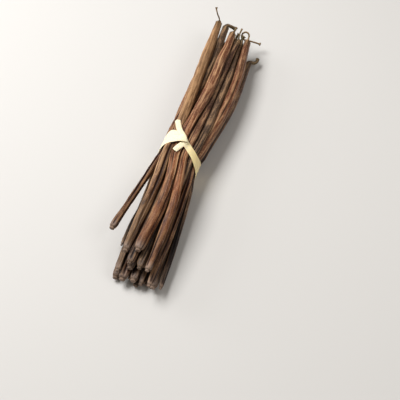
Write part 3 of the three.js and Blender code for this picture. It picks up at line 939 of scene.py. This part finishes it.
def make_strip(settings):
    """The strip of raffia: a grid that is laid along its path, ridged and made thick."""
    rows, length = strip_stations(CUTS_ALONG + 1)
    random = np.random.default_rng(STRIP_SEED)
    ridge_lengths = random.uniform(*RIDGE_LENGTHS, RIDGES)
    ridge_starts = random.uniform(0, 2 * math.pi, RIDGES)
    ridge_radians = random.uniform(*RIDGE_RADIANS, RIDGES)
    edges = seeded_waves(random, 2, EDGE_LENGTHS)
    edge_at = [edges(length * k / CUTS_ALONG) for k in range(CUTS_ALONG + 1)]

    bm = bmesh.new()
    bmesh.ops.create_grid(bm, x_segments=CUTS_ACROSS, y_segments=CUTS_ALONG, size=1)
    straight = bm.verts.layers.float_vector.new("straight")
    aged = bm.verts.layers.float.new("aged")
    for vert in bm.verts:
        # u runs across the strip from -1 to 1, and v along it from 0 to 1.
        u, v = vert.co.x, (vert.co.y + 1) / 2
        way = v * length
        short_cut = SHORT_CUT * u * (1 - smooth(way, 0, CUT_RUN))
        way += short_cut + LONG_CUT * u * smooth(way, length - CUT_RUN, length)
        k = clamp(way / length, 0, 1) * CUTS_ALONG
        row = rows[int(k)]
        ahead = rows[min(int(k) + 1, CUTS_ALONG)]
        k -= int(k)
        place, across, out, half_width = (
            mix(getattr(row, name), getattr(ahead, name), k) for name in Station._fields
        )
        edge = edge_at[round(v * CUTS_ALONG)][0 if u < 0 else 1]
        width = half_width * (1 + settings.edge_wander * edge)
        turns = ridge_radians * u + ridge_starts + way * 2 * math.pi / ridge_lengths
        ridges = float(np.cos(turns).mean()) * 2 * settings.ridge_height / MM
        in_knot = 1 - run_between(way, length, KNOT_RUNS)
        lift = KNOT_DOME * (1 - u * u) * in_knot + ridges
        place = place + across.normalized() * (u * width) + out.normalized() * lift
        vert.co = (place + TIE_MIDDLE) * MM
        vert[straight] = Vector((u * width, way, 0)) * MM
        # Painted shade: the band's stretch turned away from the key light gets a warmer yellow.
        vert[aged] = run_between(way, length, SHADE_YELLOW_RUNS)
    bmesh.ops.solidify(bm, geom=bm.faces[:], thickness=settings.thickness)
    return finish_piece("raffia_strip", bm, raffia_leaf(settings), "raffia_tie")


def raffia_leaf(settings):
    """Raffia, a strip split from a palm leaf and dried.

    Splitting leaves long fibres side by side, so the strip is streaked and slightly ridged. It
    is pale straw, dull, and thin enough for light to warm it from inside. Where the band turns
    away from the key light it is painted a warmer yellow, as painted shade.
    """
    material, tree = new_material("raffia_leaf_split_dried")
    straight = add(tree, "ShaderNodeAttribute", {}, "Vector", attribute_name="straight")
    # Fibres 0.25 mm apart that run for 30 mm, and stains 2.5 mm by 16 mm.
    grains = []
    for across, long, detail in ((0.25, 30, 3.0), (2.5, 16, 2.0)):
        stretched = add(tree, "ShaderNodeMapping", {
            "Vector": straight, "Scale": (1 / (across * MM), 1 / (long * MM), 1 / (1 * MM)),
        }, "Vector")
        grains.append(add(tree, "ShaderNodeTexNoise", {
            "Vector": stretched, "Scale": 1.0, "Detail": detail,
        }, "Fac"))
    fibres, stains = grains
    # Painted shade: a warmer yellow where the band turns away from the key light.
    aged = add(tree, "ShaderNodeAttribute", {}, "Fac", attribute_name="aged")
    colour = add(tree, "ShaderNodeMix", {
        "Factor_Float": aged, "A_Color": settings.straw, "B_Color": settings.aged,
    }, "Result_Color", data_type="RGBA")
    for value, none, full, most in ((fibres, 0.5, 0.72, 0.6), (stains, 0.5, 0.8, 0.5)):
        share = add(tree, "ShaderNodeMapRange", {
            "Value": value, "From Min": none, "From Max": full, "To Max": most,
        }, "Result", interpolation_type="SMOOTHSTEP")
        colour = add(tree, "ShaderNodeMix", {
            "Factor_Float": share, "A_Color": colour, "B_Color": settings.fibre,
        }, "Result_Color", data_type="RGBA")
    bumps = add(tree, "ShaderNodeBump", {
        "Height": fibres, "Strength": 0.5, "Distance": 0.08 * MM,
    }, "Normal")
    surface = add(tree, "ShaderNodeBsdfPrincipled", {
        "Base Color": colour, "Roughness": 0.6, "Normal": bumps, "Specular IOR Level": 0.35,
        "Subsurface Weight": 0.15, "Subsurface Radius": (1.0, 0.7, 0.35),
        "Subsurface Scale": 0.6 * MM,
    }, "BSDF")
    add(tree, "ShaderNodeOutputMaterial", {"Surface": surface})
    return material


class RaffiaSettings(bpy.types.PropertyGroup):
    """Sizes and colours of the strip of raffia"""

    thickness: bpy.props.FloatProperty(
        name="Thickness", description="Thickness of the strip", default=0.22 * MM,
        min=0.05 * MM, max=0.6 * MM, unit="LENGTH",
    )
    ridge_height: bpy.props.FloatProperty(
        name="Ridge Height", description="Height of the ridges that the fibres make",
        default=0.07 * MM, min=0, max=0.3 * MM, unit="LENGTH",
    )
    edge_wander: bpy.props.FloatProperty(
        name="Edge Wander", description="How uneven the edges are, as a share of the half width",
        default=0.06, min=0, max=0.3, subtype="FACTOR",
    )
    straw: colour_setting("Straw", "Colour between the fibres", "f3e7c6")
    # Painted shade: the warmer yellow of the band's side away from the key light.
    aged: colour_setting("Aged", "Colour where the strip has yellowed", "ffe6a9")
    fibre: colour_setting("Fibre", "Colour of the darker fibres", "efd399")


class VANILLA_OT_tie_raffia(bpy.types.Operator):
    """Ties the strip of raffia round the pods, with a half knot and two cut ends"""

    bl_idname = "vanilla.tie_raffia"
    bl_label = "Tie Raffia"

    def execute(self, context):
        make_strip(context.scene.vanilla_raffia)
        return {"FINISHED"}


# ---- Stage ----

# The camera's place and the way it looks, for a square picture.
CAMERA_PLACE = Vector((-328.94, -120.3, 442.0))
CAMERA_AIM = Vector((0.556, 0.191, -0.809))
CAMERA_LENS, CAMERA_SENSOR = 97.5, 36.0
CAMERA_NEAR = 10.0
FLOOR_HALF_WIDTH = 3000.0
FLOOR_DROP = 0.02

# The soft lights: name, place and width.
SOFTBOXES = (
    ("key", (70, 360, 620), 360), ("side", (160, 690, 300), 300), ("fill", (-60, -420, 520), 300)
)


class StageSettings(bpy.types.PropertyGroup):
    """The floor and the lights"""

    floor: colour_setting("Floor", "Colour of the floor", "ceccc9")
    sky_colour: colour_setting("Sky Colour", "Colour of the light from all round", "fff6ea")
    sky: bpy.props.FloatProperty(
        name="Sky", description="Strength of the light from all round", default=0.23, min=0
    )
    key: bpy.props.FloatProperty(
        name="Key", description="Power of the large soft light", default=6.0, min=0, unit="POWER"
    )
    side: bpy.props.FloatProperty(
        name="Side", description="Power of the low light beside the bundle", default=1.3, min=0,
        unit="POWER",
    )
    fill: bpy.props.FloatProperty(
        name="Fill", description="Power of the weak light on the shaded side", default=0.9, min=0,
        unit="POWER",
    )


def add_softbox(name, place, width, power):
    """A square area light that faces the bundle."""
    light = bpy.data.lights.new(name, "AREA")
    light.shape = "SQUARE"
    light.size = width * MM
    light.energy = power
    lamp = bpy.data.objects.new(name, light)
    lamp.location = Vector(place) * MM
    lamp.rotation_mode = "QUATERNION"
    lamp.rotation_quaternion = (-lamp.location).to_track_quat("-Z", "Y")
    bpy.context.collection.objects.link(lamp)


def matte_paper(settings):
    """Background paper, uncoated: a flat pale tone without a highlight."""
    material, tree = new_material("paper_uncoated")
    surface = add(tree, "ShaderNodeBsdfPrincipled", {
        "Base Color": settings.floor, "Roughness": 0.95, "Specular IOR Level": 0.2,
    }, "BSDF")
    add(tree, "ShaderNodeOutputMaterial", {"Surface": surface})
    return material


class VANILLA_OT_set_stage(bpy.types.Operator):
    """Sets a pale floor, soft lights and the camera round the bundle"""

    bl_idname = "vanilla.set_stage"
    bl_label = "Set Stage"

    def execute(self, context):
        settings = context.scene.vanilla_stage
        bm = bmesh.new()
        bmesh.ops.create_grid(bm, x_segments=1, y_segments=1, size=FLOOR_HALF_WIDTH * MM)
        bmesh.ops.translate(bm, verts=bm.verts, vec=(0, 0, -FLOOR_DROP * MM))
        mesh = bpy.data.meshes.new("floor")
        bm.to_mesh(mesh)
        bm.free()
        mesh.materials.append(matte_paper(settings))
        floor = bpy.data.objects.new("floor", mesh)
        context.collection.objects.link(floor)

        for name, place, width in SOFTBOXES:
            add_softbox(f"{name}_softbox", place, width, getattr(settings, name))

        world = bpy.data.worlds.new("studio")
        world.use_nodes = True
        world.node_tree.nodes.clear()
        sky = add(world.node_tree, "ShaderNodeBackground", {
            "Color": settings.sky_colour, "Strength": settings.sky,
        }, "Background")
        add(world.node_tree, "ShaderNodeOutputWorld", {"Surface": sky})
        context.scene.world = world
        context.scene.view_settings.view_transform = "Standard"

        camera = bpy.data.objects.new("camera", bpy.data.cameras.new("camera"))
        camera.data.lens = CAMERA_LENS
        camera.data.sensor_width = CAMERA_SENSOR
        camera.data.clip_start = CAMERA_NEAR * MM
        camera.location = CAMERA_PLACE * MM
        camera.rotation_mode = "QUATERNION"
        camera.rotation_quaternion = CAMERA_AIM.to_track_quat("-Z", "Y")
        context.collection.objects.link(camera)
        context.scene.camera = camera
        return {"FINISHED"}


# ---- Sidebar panel and registration ----


class VANILLA_PT_bundle(bpy.types.Panel):
    """Lists the steps that make the bundle"""

    bl_label = "Vanilla Bundle"
    bl_space_type = "VIEW_3D"
    bl_region_type = "UI"
    bl_category = "Bundle"

    def draw(self, context):
        for group, operator in PANEL_ROWS:
            box = self.layout.box()
            settings = getattr(context.scene, group)
            for name in settings.__annotations__:
                box.prop(settings, name)
            box.operator(operator)


PANEL_ROWS = (
    ("vanilla_pods", "vanilla.lay_pods"),
    ("vanilla_raffia", "vanilla.tie_raffia"),
    ("vanilla_stage", "vanilla.set_stage"),
)
CLASSES = (
    PodSettings,
    RaffiaSettings,
    StageSettings,
    VANILLA_OT_lay_pods,
    VANILLA_OT_tie_raffia,
    VANILLA_OT_set_stage,
    VANILLA_PT_bundle,
)


def register():
    for cls in CLASSES:
        bpy.utils.register_class(cls)
    bpy.types.Scene.vanilla_pods = bpy.props.PointerProperty(type=PodSettings)
    bpy.types.Scene.vanilla_raffia = bpy.props.PointerProperty(type=RaffiaSettings)
    bpy.types.Scene.vanilla_stage = bpy.props.PointerProperty(type=StageSettings)


def unregister():
    del bpy.types.Scene.vanilla_stage
    del bpy.types.Scene.vanilla_raffia
    del bpy.types.Scene.vanilla_pods
    for cls in reversed(CLASSES):
        bpy.utils.unregister_class(cls)


def main():
    register()
    bpy.ops.vanilla.lay_pods()
    bpy.ops.vanilla.tie_raffia()
    bpy.ops.vanilla.set_stage()


if __name__ == "__main__":
    main()
